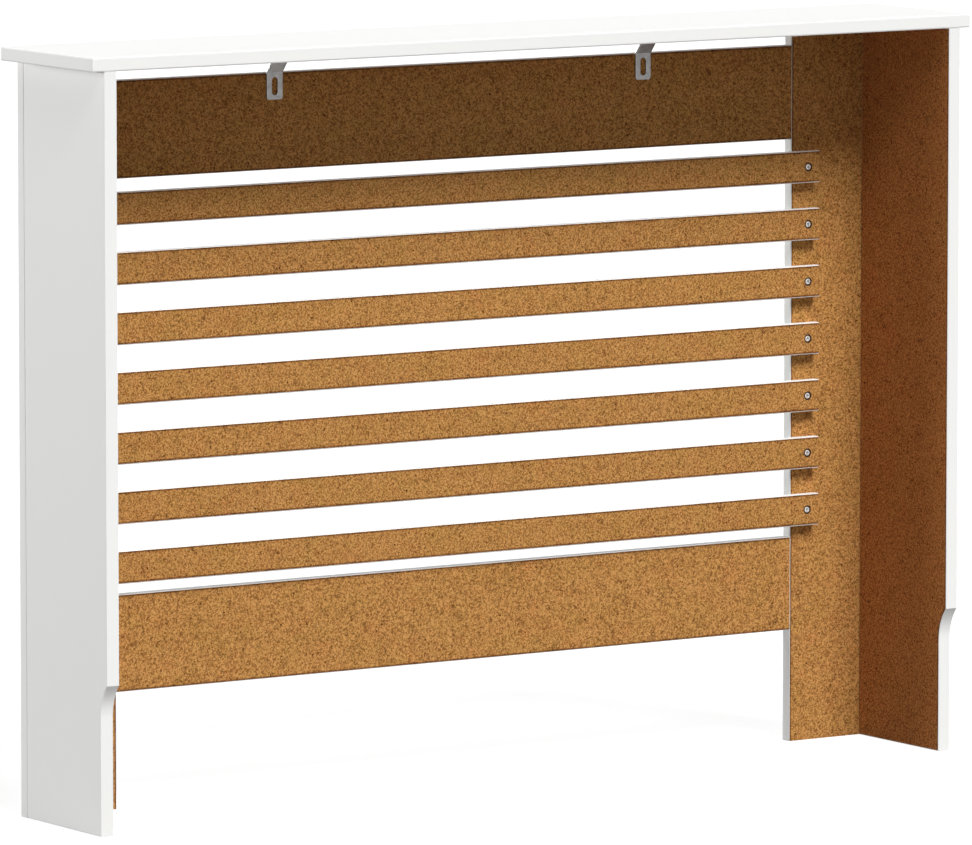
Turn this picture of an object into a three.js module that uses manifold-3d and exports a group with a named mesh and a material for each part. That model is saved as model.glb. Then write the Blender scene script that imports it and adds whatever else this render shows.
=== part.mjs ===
// Radiator cover cabinet: a shelf on two side panels, with a front frame of stiles and rails
// that carries a screen of screwed slats, left open below, above and towards the wall.
//
// Millimetres. +Z is up from the floor, +Y points to the wall and -Y into the room, and X runs
// along the width. The origin is on the floor, under the middle of the shelf.

import * as THREE from 'three';
import { mergeVertices } from 'three/addons/utils/BufferGeometryUtils.js';
import Module from 'manifold-3d';

const wasm = await Module();
wasm.setup();

// ---------------------------------------------------------------- driving dimensions

// Boards
const SHELF_WIDTH = 1120;
const SHELF_DEPTH = 188;
const SHELF_THICKNESS = 15;
const PANEL_THICKNESS = 15;
const FRAME_THICKNESS = 15;
const PANEL_HEIGHT = 800;
const SIDE_OVERHANG = 14;
const FRONT_OVERHANG = 9;

// Front frame
const STILE_WIDTH = 110;
const RAIL_HEIGHT = 104;
const FLOOR_GAP = 125;
const VENT_GAP = 25;

// Slats
const SLAT_COUNT = 7;
const SLAT_HEIGHT = 35;
const SLAT_THICKNESS = 12;
const SLAT_END_GAP = 13;
const SLAT_LAP = 30;

// Rounded arrises: where foil turns over an edge onto the face, and onto the raw back
const FACE_ARRIS = 3;
const BACK_ARRIS = 1;
const SHELF_ARRIS = 1.5;
const SHELF_CORNER = 2;
const PANEL_ARRIS = 1;

// Skirting cut-out in the side panels
const NOTCH_DEPTH = 13;
const NOTCH_UPRIGHT = 125;
const NOTCH_HEIGHT = 160;

// Dowels, half in each board edge to edge, and by their bite where they enter a face
const DOWEL_DIAMETER = 8;
const DOWEL_LENGTH = 30;
const DOWEL_CHAMFER = 1;
const DOWEL_FACE_BITE = 10;
const RAIL_DOWEL_INSET = 20;
const PANEL_DOWEL_INSET = 60;
const SHELF_DOWEL_INSET = 40;

// Slat screws: countersunk, cross recess
const SCREW_DIAMETER = 3.5;
const SCREW_LENGTH = 20;
const SCREW_TIP = 4;
const SCREW_HEAD_DIAMETER = 7;
const SCREW_HEAD_HEIGHT = 2.2;
const SCREW_HEAD_RIM = 0.4;
const SCREW_SINK = 0.2;

// Straps between the top rail and the shelf, slanting back from upright by an angle in degrees
const STRAP_WIDTH = 20;
const STRAP_THICKNESS = 1.5;
const STRAP_SPACING = 474;
const STRAP_LEG = 29;
const STRAP_FLANGE = 29;
const STRAP_SLANT_ANGLE = 40;
const STRAP_CORNER = 3;
const STRAP_BEND_RADIUS = 2;
const STRAP_SLOT_WIDTH = 7;
const STRAP_SLOT_LENGTH = 19;
const STRAP_SLOT_MARGIN = 5;

// Strap screws: wide low head with a bevelled rim, cross recess
const STRAP_SCREW_DIAMETER = 4;
const STRAP_SCREW_LENGTH = 13;
const STRAP_SCREW_HEAD_DIAMETER = 10;
const STRAP_SCREW_HEAD_HEIGHT = 2.4;
const STRAP_SCREW_RIM_HEIGHT = 0.8;
const STRAP_SCREW_BEVEL = 1.2;

// Cross recess
const RECESS_DEPTH = 1.6;
const RECESS_WING = 0.9;
const RECESS_SPAN = 4;
const RECESS_TAPER = 0.45;
const RECESS_LEAD = 0.1;

// Clearances
const FIT_GAP = 0.3;
const HOLE_END_GAP = 1;
const THROUGH = 1;

// Roundness: sides of a full circle, and steps on a quarter-round arris
const DOWEL_SIDES = 12;
const SCREW_SIDES = 16;
const ARRIS_STEPS = 2;
const BEND_STEPS = 3;
const OUTLINE_STEPS = 5;

// Corners closer than this are one corner
const WELD = 1e-4;

// Colours
const WHITE_FOIL = { color: 0xf4f4f1, roughness: 0.42, metalness: 0 };
const RAW_BOARD = { color: 0xa8794a, roughness: 0.85, metalness: 0 };
const ZINC = { color: 0xa3a6a8, roughness: 0.38, metalness: 0.9 };
const SCREW_ZINC = { color: 0xd6d3c8, roughness: 0.3, metalness: 0.95 };
const BEECH = { color: 0xd9b98a, roughness: 0.7, metalness: 0 };

// ---------------------------------------------------------------- derived places

const wallPlane = SHELF_DEPTH / 2;
const frameFront = -SHELF_DEPTH / 2 + FRONT_OVERHANG;
const frameBack = frameFront + FRAME_THICKNESS;
const frameMiddle = (frameFront + frameBack) / 2;
const cabinetHalf = SHELF_WIDTH / 2 - SIDE_OVERHANG;
const panelMiddle = cabinetHalf - PANEL_THICKNESS / 2;
const stileInner = cabinetHalf - STILE_WIDTH;
const stileMiddle = cabinetHalf - STILE_WIDTH / 2;

const bottomRailBase = FLOOR_GAP;
const topRailBase = PANEL_HEIGHT - VENT_GAP - RAIL_HEIGHT;
const topRailTop = topRailBase + RAIL_HEIGHT;

const opening = topRailBase - (bottomRailBase + RAIL_HEIGHT);
const slatRun = opening - 2 * SLAT_END_GAP - SLAT_HEIGHT;
const slatPitch = slatRun / (SLAT_COUNT - 1);
const lowestSlat = bottomRailBase + RAIL_HEIGHT + SLAT_END_GAP + SLAT_HEIGHT / 2;
const slatHalfLength = stileInner + SLAT_LAP;
const slatBack = frameBack + SLAT_THICKNESS;
const slatScrewX = stileInner + SLAT_LAP / 2;
const slatLevels = Array.from({ length: SLAT_COUNT }, (_, i) => lowestSlat + i * slatPitch);

const dowelEdgeBite = DOWEL_LENGTH - DOWEL_FACE_BITE;
const railDowelLevels = [bottomRailBase, topRailBase].flatMap((base) => [
  base + RAIL_DOWEL_INSET,
  base + RAIL_HEIGHT - RAIL_DOWEL_INSET,
]);
const panelDowelLevels = [PANEL_DOWEL_INSET, PANEL_HEIGHT / 2, PANEL_HEIGHT - PANEL_DOWEL_INSET];
const shelfDowelPlaces = [frameBack + SHELF_DOWEL_INSET, wallPlane - SHELF_DOWEL_INSET];

const X = new THREE.Vector3(1, 0, 0);
const Y = new THREE.Vector3(0, 1, 0);
const Z = new THREE.Vector3(0, 0, 1);
const SIDES = [
  { name: 'left', sign: 1 },
  { name: 'right', sign: -1 },
];

// ---------------------------------------------------------------- solids and geometries

/** Closed solid from a geometry whose shared corners are merged and empty triangles dropped. */
function solidOf(geometry) {
  const bare = geometry.clone();
  bare.deleteAttribute('normal');
  bare.deleteAttribute('uv');
  const merged = mergeVertices(bare, WELD);
  const corners = merged.index.array;
  const triVerts = [];
  for (let i = 0; i < corners.length; i += 3) {
    const [a, b, c] = corners.slice(i, i + 3);
    if (a !== b && b !== c && c !== a) triVerts.push(a, b, c);
  }
  return new wasm.Manifold(new wasm.Mesh({
    numProp: 3,
    vertProperties: merged.attributes.position.array,
    triVerts: new Uint32Array(triVerts),
  }));
}

/** Flat-shaded geometry of a solid. */
function geometryOf(solid) {
  const mesh = solid.getMesh();
  const geometry = new THREE.BufferGeometry();
  geometry.setAttribute('position', new THREE.BufferAttribute(mesh.vertProperties, 3));
  geometry.setIndex(new THREE.BufferAttribute(mesh.triVerts, 1));
  const flat = geometry.toNonIndexed();
  flat.computeVertexNormals();
  return flat;
}

/** Turns a geometry's own z axis onto `axis` and moves its origin to `place`. */
function aim(geometry, axis, place) {
  const turn = new THREE.Matrix4();
  if (Math.abs(axis.x) > 0.5) turn.makeBasis(Y, Z, X);
  if (Math.abs(axis.y) > 0.5) turn.makeBasis(Z, X, Y);
  if (axis.x + axis.y + axis.z < 0) {
    turn.multiply(new THREE.Matrix4().makeRotationX(Math.PI));
  }
  return geometry.applyMatrix4(turn).translate(place.x, place.y, place.z);
}

/** Revolves [radius, height] pairs about z, from the axis round to the axis. */
function revolve(profile, sides) {
  const points = profile.map(([radius, height]) => new THREE.Vector2(radius, height));
  return new THREE.LatheGeometry(points, sides).rotateX(Math.PI / 2);
}

/** Extrudes an outline from 0 to `length` along z. */
function extrude(outline, length, curveSegments = ARRIS_STEPS) {
  return new THREE.ExtrudeGeometry(outline, { depth: length, bevelEnabled: false, curveSegments });
}

/** Rectangle from (u0, v0) to (u1, v1) with its own radius at each corner, from (u0, v0) round. */
function roundedRectangle(u0, v0, u1, v1, radii) {
  const [a, b, c, d] = radii;
  const shape = new THREE.Shape();
  shape.moveTo(u0 + a, v0);
  shape.lineTo(u1 - b, v0);
  shape.absarc(u1 - b, v0 + b, b, -Math.PI / 2, 0);
  shape.lineTo(u1, v1 - c);
  shape.absarc(u1 - c, v1 - c, c, 0, Math.PI / 2);
  shape.lineTo(u0 + d, v1);
  shape.absarc(u0 + d, v1 - d, d, Math.PI / 2, Math.PI);
  shape.lineTo(u0, v0 + a);
  shape.absarc(u0 + a, v0 + a, a, Math.PI, Math.PI * 1.5);
  return shape;
}

/** Slot outline with round ends, centred, its length along v. */
function slotOutline(width, length) {
  const r = width / 2;
  const straight = length / 2 - r;
  const shape = new THREE.Shape();
  shape.moveTo(r, -straight);
  shape.lineTo(r, straight);
  shape.absarc(0, straight, r, 0, Math.PI);
  shape.lineTo(-r, -straight);
  shape.absarc(0, -straight, r, Math.PI, Math.PI * 2);
  return shape;
}

/** Round blind hole: a cutter that enters at `mouth` and runs `depth` along `axis`. */
function hole(mouth, axis, diameter, depth, sides) {
  const radius = diameter / 2 + FIT_GAP;
  const profile = [[0, -THROUGH], [radius, -THROUGH], [radius, depth], [0, depth]];
  return solidOf(aim(revolve(profile, sides), axis, mouth));
}

/** Dowel hole for a dowel that enters by `bite`. */
function dowelHole(mouth, axis, bite) {
  return hole(mouth, axis, DOWEL_DIAMETER, bite + HOLE_END_GAP, DOWEL_SIDES);
}

/** Cuts every cutter out of a geometry. */
function cut(geometry, cutters) {
  return geometryOf(cutters.reduce((solid, cutter) => solid.subtract(cutter), solidOf(geometry)));
}

const at = (x, y, z) => new THREE.Vector3(x, y, z);
const along = (axis, sign) => axis.clone().multiplyScalar(sign);

// ---------------------------------------------------------------- boards

/** Shelf: a plan outline with small round corners and round arrises above and below. */
function shelf() {
  const half = SHELF_WIDTH / 2;
  const corners = [SHELF_CORNER, SHELF_CORNER, SHELF_CORNER, SHELF_CORNER];
  const plan = roundedRectangle(-half, -wallPlane, half, wallPlane, corners);
  const board = new THREE.ExtrudeGeometry(plan, {
    depth: SHELF_THICKNESS - 2 * SHELF_ARRIS,
    bevelThickness: SHELF_ARRIS,
    bevelSize: SHELF_ARRIS,
    bevelOffset: -SHELF_ARRIS,
    bevelSegments: ARRIS_STEPS,
    curveSegments: ARRIS_STEPS,
  });
  board.translate(0, 0, PANEL_HEIGHT + SHELF_ARRIS);
  const cutters = SIDES.flatMap(({ sign }) => [
    ...shelfDowelPlaces.map((y) => dowelHole(at(sign * panelMiddle, y, PANEL_HEIGHT), Z, DOWEL_FACE_BITE)),
    dowelHole(at(sign * stileMiddle, frameMiddle, PANEL_HEIGHT), Z, DOWEL_FACE_BITE),
    strapPilot(sign),
  ]);
  return cut(board, cutters);
}

/** Side outline of a panel in (y, z): the lower rear corner is cut away round a skirting board. */
function panelOutline() {
  const rise = NOTCH_HEIGHT - NOTCH_UPRIGHT;
  const radius = (rise * rise + NOTCH_DEPTH * NOTCH_DEPTH) / (2 * NOTCH_DEPTH);
  const notchFace = wallPlane - NOTCH_DEPTH;
  const sweep = Math.asin(rise / radius);
  const outline = new THREE.Shape();
  outline.moveTo(frameBack, 0);
  outline.lineTo(notchFace, 0);
  outline.lineTo(notchFace, NOTCH_UPRIGHT);
  outline.absarc(notchFace + radius, NOTCH_UPRIGHT, radius, Math.PI, Math.PI - sweep, true);
  outline.lineTo(wallPlane, PANEL_HEIGHT);
  outline.lineTo(frameBack, PANEL_HEIGHT);
  outline.closePath();
  return outline;
}

/** Side panel: the outline with round arrises, drilled for the stile's and the shelf's dowels. */
function sidePanel(sign) {
  const board = new THREE.ExtrudeGeometry(panelOutline(), {
    depth: PANEL_THICKNESS - 2 * PANEL_ARRIS,
    bevelThickness: PANEL_ARRIS,
    bevelSize: PANEL_ARRIS,
    bevelOffset: -PANEL_ARRIS,
    bevelSegments: ARRIS_STEPS,
    curveSegments: OUTLINE_STEPS,
  });
  const inner = sign * panelMiddle - PANEL_THICKNESS / 2 + PANEL_ARRIS;
  const placed = aim(board, X, at(inner, 0, 0));
  return cut(placed, [
    ...panelDowelLevels.map((z) => dowelHole(at(sign * panelMiddle, frameBack, z), Y, dowelEdgeBite)),
    ...shelfDowelPlaces.map((y) => (
      dowelHole(at(sign * panelMiddle, y, PANEL_HEIGHT), along(Z, -1), dowelEdgeBite)
    )),
  ]);
}

/** Stile: a plan section, rounder at the front, drilled for dowels and for the slats' screws. */
function stile(sign) {
  const x0 = Math.min(sign * stileInner, sign * cabinetHalf);
  const x1 = x0 + STILE_WIDTH;
  const arrises = [FACE_ARRIS, FACE_ARRIS, BACK_ARRIS, BACK_ARRIS];
  const board = extrude(roundedRectangle(x0, frameFront, x1, frameBack, arrises), PANEL_HEIGHT);
  return cut(board, [
    ...railDowelLevels.map((z) => (
      dowelHole(at(sign * stileInner, frameMiddle, z), along(X, sign), DOWEL_LENGTH / 2)
    )),
    ...panelDowelLevels.map((z) => (
      dowelHole(at(sign * panelMiddle, frameBack, z), along(Y, -1), DOWEL_FACE_BITE)
    )),
    dowelHole(at(sign * stileMiddle, frameMiddle, PANEL_HEIGHT), along(Z, -1), dowelEdgeBite),
    ...slatLevels.map((z) => slatPilot(sign, z)),
  ]);
}

/** Rail: an end section, rounder at the front, cut to fit between the stiles. */
function rail(base) {
  const arrises = [FACE_ARRIS, BACK_ARRIS, BACK_ARRIS, FACE_ARRIS];
  const section = roundedRectangle(frameFront, base, frameBack, base + RAIL_HEIGHT, arrises);
  const board = aim(extrude(section, 2 * stileInner), X, at(-stileInner, 0, 0));
  const levels = railDowelLevels.filter((z) => z > base && z < base + RAIL_HEIGHT);
  return cut(board, SIDES.flatMap(({ sign }) => levels.map((z) => (
    dowelHole(at(sign * stileInner, frameMiddle, z), along(X, -sign), DOWEL_LENGTH / 2)
  ))));
}

/** Slat: an end section lapped over both stiles, with a countersunk hole at each end. */
function slat(level) {
  const base = level - SLAT_HEIGHT / 2;
  const arrises = [FACE_ARRIS, BACK_ARRIS, BACK_ARRIS, FACE_ARRIS];
  const section = roundedRectangle(frameBack, base, slatBack, base + SLAT_HEIGHT, arrises);
  const board = aim(extrude(section, 2 * slatHalfLength), X, at(-slatHalfLength, 0, 0));
  return cut(board, SIDES.map(({ sign }) => countersink(sign, level)));
}

// ---------------------------------------------------------------- fasteners

/** Countersunk clearance hole for a slat screw, through the slat from its back. */
function countersink(sign, level) {
  const neck = SCREW_DIAMETER / 2 + FIT_GAP;
  const mouth = SCREW_HEAD_DIAMETER / 2 + FIT_GAP;
  const rim = SCREW_SINK + SCREW_HEAD_RIM;
  const profile = [
    [0, -THROUGH],
    [mouth, -THROUGH],
    [mouth, rim],
    [neck, SCREW_SINK + SCREW_HEAD_HEIGHT],
    [neck, SLAT_THICKNESS + THROUGH],
    [0, SLAT_THICKNESS + THROUGH],
  ];
  const place = at(sign * slatScrewX, slatBack, level);
  return solidOf(aim(revolve(profile, SCREW_SIDES), along(Y, -1), place));
}

/** Pilot hole in a stile, in line with the slat's hole. */
function slatPilot(sign, level) {
  const depth = SCREW_SINK + SCREW_LENGTH - SLAT_THICKNESS + HOLE_END_GAP;
  return hole(at(sign * slatScrewX, frameBack, level), along(Y, -1), SCREW_DIAMETER, depth, DOWEL_SIDES);
}

/** Cross recess cutter from just above `level`: two wings that taper as they run down +z. */
function crossRecess(level) {
  const depth = RECESS_DEPTH + RECESS_LEAD;
  const corner = Math.SQRT1_2;
  const wing = (turn) => {
    const bar = new THREE.CylinderGeometry(corner * RECESS_TAPER, corner, 1, 4);
    bar.rotateY(Math.PI / 4).rotateX(Math.PI / 2).translate(0, 0, 0.5);
    bar.scale(RECESS_SPAN, RECESS_WING, depth).rotateZ(turn).translate(0, 0, level - RECESS_LEAD);
    return solidOf(bar);
  };
  return wing(0).add(wing(Math.PI / 2));
}

/** Slat screw along +z from its flush head at z = 0 to its point. */
function slatScrewForm() {
  const shank = SCREW_DIAMETER / 2;
  const head = SCREW_HEAD_DIAMETER / 2;
  const body = revolve([
    [0, 0],
    [head, 0],
    [head, SCREW_HEAD_RIM],
    [shank, SCREW_HEAD_HEIGHT],
    [shank, SCREW_LENGTH - SCREW_TIP],
    [0, SCREW_LENGTH],
  ], SCREW_SIDES);
  return geometryOf(solidOf(body).subtract(crossRecess(0)));
}

/** Strap screw along +z: a low bevelled head below z = 0 and the shank above it. */
function strapScrewForm() {
  const shank = STRAP_SCREW_DIAMETER / 2;
  const head = STRAP_SCREW_HEAD_DIAMETER / 2;
  const body = revolve([
    [0, -STRAP_SCREW_HEAD_HEIGHT],
    [head - STRAP_SCREW_BEVEL, -STRAP_SCREW_HEAD_HEIGHT],
    [head, -STRAP_SCREW_RIM_HEIGHT],
    [head, 0],
    [shank, 0],
    [shank, STRAP_SCREW_LENGTH - SCREW_TIP],
    [0, STRAP_SCREW_LENGTH],
  ], SCREW_SIDES);
  const recess = crossRecess(-STRAP_SCREW_HEAD_HEIGHT);
  return geometryOf(solidOf(body).subtract(recess));
}

/** Dowel along +z with chamfered ends. */
function dowelForm() {
  const radius = DOWEL_DIAMETER / 2;
  return revolve([
    [0, 0],
    [radius - DOWEL_CHAMFER, 0],
    [radius, DOWEL_CHAMFER],
    [radius, DOWEL_LENGTH - DOWEL_CHAMFER],
    [radius - DOWEL_CHAMFER, DOWEL_LENGTH],
    [0, DOWEL_LENGTH],
  ], DOWEL_SIDES);
}

// ---------------------------------------------------------------- straps

const strapX = STRAP_SPACING / 2;
const strapFront = frameBack + FIT_GAP;
const strapTop = PANEL_HEIGHT - FIT_GAP;
const legFoot = topRailTop - STRAP_LEG;
const strapLine = strapCentreLine();
const flangeEnd = strapLine.at(-1).x;
const strapScrewY = flangeEnd - STRAP_SLOT_MARGIN - STRAP_SLOT_LENGTH / 2;

/** The strap's centre line in (y, z), corner by corner, from the leg's foot to the flange's end. */
function strapCentreLine() {
  const legY = strapFront + STRAP_THICKNESS / 2;
  const flangeZ = strapTop - STRAP_THICKNESS / 2;
  const slant = THREE.MathUtils.degToRad(STRAP_SLANT_ANGLE);
  const slantY = legY + (flangeZ - topRailTop) * Math.tan(slant);
  return [
    new THREE.Vector2(legY, legFoot),
    new THREE.Vector2(legY, topRailTop),
    new THREE.Vector2(slantY, flangeZ),
    new THREE.Vector2(slantY + STRAP_FLANGE, flangeZ),
  ];
}

/** Offsets an open line to its left, with mitred corners rounded by `radius`, as curve points. */
function flank(line, offset, radius) {
  const leftOf = (a, b) => new THREE.Vector2(a.y - b.y, b.x - a.x).normalize();
  const corners = line.map((point, i) => {
    const before = leftOf(line[Math.max(i - 1, 0)], line[Math.max(i, 1)]);
    const after = leftOf(line[Math.min(i, line.length - 2)], line[Math.min(i + 1, line.length - 1)]);
    const mitre = before.clone().add(after).normalize();
    return point.clone().addScaledVector(mitre, offset / mitre.dot(before));
  });
  return corners.flatMap((corner, i) => {
    if (i === 0 || i === corners.length - 1) return [corner];
    const back = corners[i - 1].clone().sub(corner).normalize();
    const on = corners[i + 1].clone().sub(corner).normalize();
    const setback = radius / Math.tan(Math.acos(back.dot(on)) / 2);
    const bend = new THREE.QuadraticBezierCurve(
      corner.clone().addScaledVector(back, setback),
      corner,
      corner.clone().addScaledVector(on, setback),
    );
    return bend.getPoints(BEND_STEPS);
  });
}

/** Outline that rounds a strap's corner at (-STRAP_WIDTH / 2, 0): a square less a quarter disc. */
function cornerOutline() {
  const r = STRAP_CORNER;
  const u = -STRAP_WIDTH / 2;
  const outline = new THREE.Shape();
  outline.moveTo(u - THROUGH, -THROUGH);
  outline.lineTo(u + r, -THROUGH);
  outline.lineTo(u + r, 0);
  outline.absarc(u + r, r, r, -Math.PI / 2, -Math.PI, true);
  outline.lineTo(u - THROUGH, r);
  outline.closePath();
  return outline;
}

/** Slot and two rounded corners for a strap's end at y = 0, cut through the plane z = 0. */
function strapEndCutter() {
  const reach = STRAP_THICKNESS + THROUGH;
  const through = (outline) => extrude(outline, 2 * reach, OUTLINE_STEPS).translate(0, 0, -reach);
  const slot = through(slotOutline(STRAP_SLOT_WIDTH, STRAP_SLOT_LENGTH));
  slot.translate(0, STRAP_SLOT_MARGIN + STRAP_SLOT_LENGTH / 2, 0);
  const corner = solidOf(through(cornerOutline()));
  return solidOf(slot).add(corner).add(corner.mirror([1, 0, 0]));
}

/** Bent strap: its side section carried across the width, then slotted and rounded at both ends. */
function strap(sign) {
  const outer = flank(strapLine, STRAP_THICKNESS / 2, STRAP_BEND_RADIUS + STRAP_THICKNESS);
  const inner = flank(strapLine, -STRAP_THICKNESS / 2, STRAP_BEND_RADIUS);
  const section = new THREE.Shape([...inner, ...outer.reverse()]);
  const strip = extrude(section, STRAP_WIDTH);
  const bent = aim(strip, X, at(sign * strapX - STRAP_WIDTH / 2, 0, 0));
  const end = strapEndCutter();
  return cut(bent, [
    end.rotate([90, 0, 0]).translate([sign * strapX, strapFront, legFoot]),
    end.rotate([0, 0, 180]).translate([sign * strapX, flangeEnd, strapTop]),
  ]);
}

/** Pilot hole for a strap's screw in the underside of the shelf. */
function strapPilot(sign) {
  const depth = STRAP_SCREW_LENGTH - STRAP_THICKNESS + HOLE_END_GAP;
  const mouth = at(sign * strapX, strapScrewY, PANEL_HEIGHT);
  return hole(mouth, Z, STRAP_SCREW_DIAMETER, depth, DOWEL_SIDES);
}

// ---------------------------------------------------------------- assembly

const cabinet = new THREE.Group();

/** Adds a named piece with a material of its own. */
function add(name, geometry, finish, place = at(0, 0, 0)) {
  const mesh = new THREE.Mesh(geometry, new THREE.MeshStandardMaterial(finish));
  mesh.name = name;
  mesh.position.copy(place);
  cabinet.add(mesh);
}

/** Adds a fastener whose form runs along +z, turned onto `axis` from `place`. */
function addAlong(name, form, finish, axis, place) {
  add(name, aim(form.clone(), axis, at(0, 0, 0)), finish, place);
}

add('shelf', shelf(), WHITE_FOIL);
for (const { name, sign } of SIDES) {
  add(`side_panel_${name}`, sidePanel(sign), WHITE_FOIL);
  add(`front_stile_${name}`, stile(sign), RAW_BOARD);
}
add('top_rail', rail(topRailBase), RAW_BOARD);
add('bottom_rail', rail(bottomRailBase), RAW_BOARD);

const slatScrew = slatScrewForm();
slatLevels.toReversed().forEach((level, i) => {
  const number = i + 1;
  add(`slat_${number}`, slat(level), RAW_BOARD);
  for (const { name, sign } of SIDES) {
    const place = at(sign * slatScrewX, slatBack - SCREW_SINK, level);
    addAlong(`slat_screw_${number}_${name}`, slatScrew, SCREW_ZINC, along(Y, -1), place);
  }
});

const strapScrew = strapScrewForm();
const dowel = dowelForm();
for (const { name, sign } of SIDES) {
  add(`strap_${name}`, strap(sign), ZINC);
  const under = at(sign * strapX, strapScrewY, strapTop - STRAP_THICKNESS - FIT_GAP);
  addAlong(`strap_screw_${name}`, strapScrew, SCREW_ZINC, Z, under);

  railDowelLevels.forEach((z, i) => {
    const place = at(sign * (stileInner - DOWEL_LENGTH / 2), frameMiddle, z);
    addAlong(`rail_dowel_${name}_${i + 1}`, dowel, BEECH, along(X, sign), place);
  });
  panelDowelLevels.forEach((z, i) => {
    const place = at(sign * panelMiddle, frameBack - DOWEL_FACE_BITE, z);
    addAlong(`panel_dowel_${name}_${i + 1}`, dowel, BEECH, Y, place);
  });
  shelfDowelPlaces.forEach((y, i) => {
    const place = at(sign * panelMiddle, y, PANEL_HEIGHT - dowelEdgeBite);
    addAlong(`shelf_dowel_${name}_${i + 1}`, dowel, BEECH, Z, place);
  });
  const onStile = at(sign * stileMiddle, frameMiddle, PANEL_HEIGHT - dowelEdgeBite);
  addAlong(`stile_dowel_${name}`, dowel, BEECH, Z, onStile);
}

export default cabinet;
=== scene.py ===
"""Radiator cover cabinet with its finishes, seen from the wall side.

Metres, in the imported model's frame: +Z up from the floor, +Y to the wall, -Y into the room.
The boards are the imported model's own solids. Each is white foil outside and raw brown board
where the foil stops, and the straps and screws are turned and bent here in finer detail.
"""

import math

import bpy
import numpy as np
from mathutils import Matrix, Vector


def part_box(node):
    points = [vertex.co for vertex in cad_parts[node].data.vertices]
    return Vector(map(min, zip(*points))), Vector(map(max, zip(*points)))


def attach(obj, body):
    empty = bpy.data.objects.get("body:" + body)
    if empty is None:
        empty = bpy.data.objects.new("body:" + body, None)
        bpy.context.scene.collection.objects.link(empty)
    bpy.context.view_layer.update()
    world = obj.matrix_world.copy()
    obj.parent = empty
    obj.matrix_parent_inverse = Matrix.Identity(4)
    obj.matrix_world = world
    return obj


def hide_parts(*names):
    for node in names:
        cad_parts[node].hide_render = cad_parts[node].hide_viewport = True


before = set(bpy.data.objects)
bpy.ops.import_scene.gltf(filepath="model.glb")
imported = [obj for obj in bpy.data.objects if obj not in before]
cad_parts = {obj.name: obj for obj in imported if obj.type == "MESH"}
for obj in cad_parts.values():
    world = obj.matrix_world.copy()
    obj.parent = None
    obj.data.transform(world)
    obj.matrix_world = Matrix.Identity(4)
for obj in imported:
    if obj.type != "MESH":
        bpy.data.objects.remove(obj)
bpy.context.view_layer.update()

MM = 0.001

# ---------------------------------------------------------------- places on the boards

SHELF_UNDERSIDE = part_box("shelf")[0].z
SHELF_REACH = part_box("shelf")[1]
PANEL_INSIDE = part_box("side_panel_left")[0].x
PANEL_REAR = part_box("side_panel_left")[1].y
FRAME_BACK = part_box("top_rail")[1].y
STILE_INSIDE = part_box("front_stile_left")[0].x
SLAT_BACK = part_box("slat_1")[1].y
SLAT_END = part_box("slat_1")[1].x
SLATS = sorted(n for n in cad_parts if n.startswith("slat_") and "screw" not in n)
SLAT_SCREWS = sorted(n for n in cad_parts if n.startswith("slat_screw_"))
STRAP_SCREWS = sorted(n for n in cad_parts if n.startswith("strap_screw_"))
STRAPS = ["strap_left", "strap_right"]
DOWELS = sorted(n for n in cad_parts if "_dowel_" in n)


def middle(node):
    """The middle of a node's box."""
    low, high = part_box(node)
    return (low + high) / 2


SCREW_COLUMN = middle("slat_screw_1_left").x
SLAT_LEVEL = middle("slat_7").z
SLAT_PITCH = middle("slat_6").z - SLAT_LEVEL
SLAT_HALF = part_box("slat_7")[1].z - SLAT_LEVEL
RAILS_MIDDLE = (middle("top_rail").z + middle("bottom_rail").z) / 2
RAILS_APART = middle("top_rail").z - RAILS_MIDDLE
RAIL_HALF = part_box("top_rail")[1].z - middle("top_rail").z

# Where the foil stops: just round an arris onto a raw face, or a little way in from the edge
FOIL_TURN = 0.06 * MM
RAIL_FOIL_RIM = 0.5 * MM
SLAT_FOIL_RIM = 0.8 * MM
SLAT_FOIL_SHIFT = 0.2 * MM
STILE_FOIL_RIM = 0.5 * MM
SHELF_FOIL_RIM = 12 * MM
PANEL_FOIL_RIM = 1.0 * MM

# Skirting cut-out of a side panel: upright to one level, then swept out to the rear by another
NOTCH_DEPTH = 13 * MM
NOTCH_UPRIGHT = 125 * MM
NOTCH_RISE = 35 * MM
NOTCH_RADIUS = (NOTCH_RISE ** 2 + NOTCH_DEPTH ** 2) / (2 * NOTCH_DEPTH)
COUNTERSINK_MOUTH = 3.95 * MM

# Painted shade in a slat's countersunk holes fades out this far outside a hole's mouth
COUNTERSINK_SHADE_END = (0.5 * MM, 1.3 * MM)

# Painted shade on a slat screw's head, from none to full: distances from its axis, then depths
RIM_SHADE = (2.9 * MM, 3.3 * MM)
RECESS_REACH = (2.3 * MM, 2.1 * MM)
RECESS_TOP = (0.35 * MM, 0.9 * MM)
RECESS_FLOOR = (2.6 * MM, 2.2 * MM)
RECESS_SHADE = 0.6

# ---------------------------------------------------------------- shader node short forms


def put(tree, kind, inputs=None, **settings):
    """Adds a shader node. An input is given as a value, or as the socket that feeds it."""
    made = tree.nodes.new("ShaderNode" + kind)
    for name, value in settings.items():
        setattr(made, name, value)
    for key, value in (inputs or {}).items():
        if isinstance(value, bpy.types.NodeSocket):
            tree.links.new(value, made.inputs[key])
        else:
            made.inputs[key].default_value = value
    return made


def calc(tree, operation, *values, clamp=False):
    """One step of arithmetic on numbers."""
    inputs = dict(enumerate(values))
    return put(tree, "Math", inputs, operation=operation, use_clamp=clamp).outputs[0]


def step(tree, value, low, high):
    """Smooth step: 0 where value is at low, 1 where it is at high."""
    inputs = {"Value": value, "From Min": low, "From Max": high}
    return put(tree, "MapRange", inputs, interpolation_type="SMOOTHSTEP").outputs["Result"]


def span(tree, value, low, high):
    """Carries a value of 0 to 1 onto low to high."""
    inputs = {"Value": value, "To Min": low, "To Max": high}
    return put(tree, "MapRange", inputs).outputs["Result"]


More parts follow.
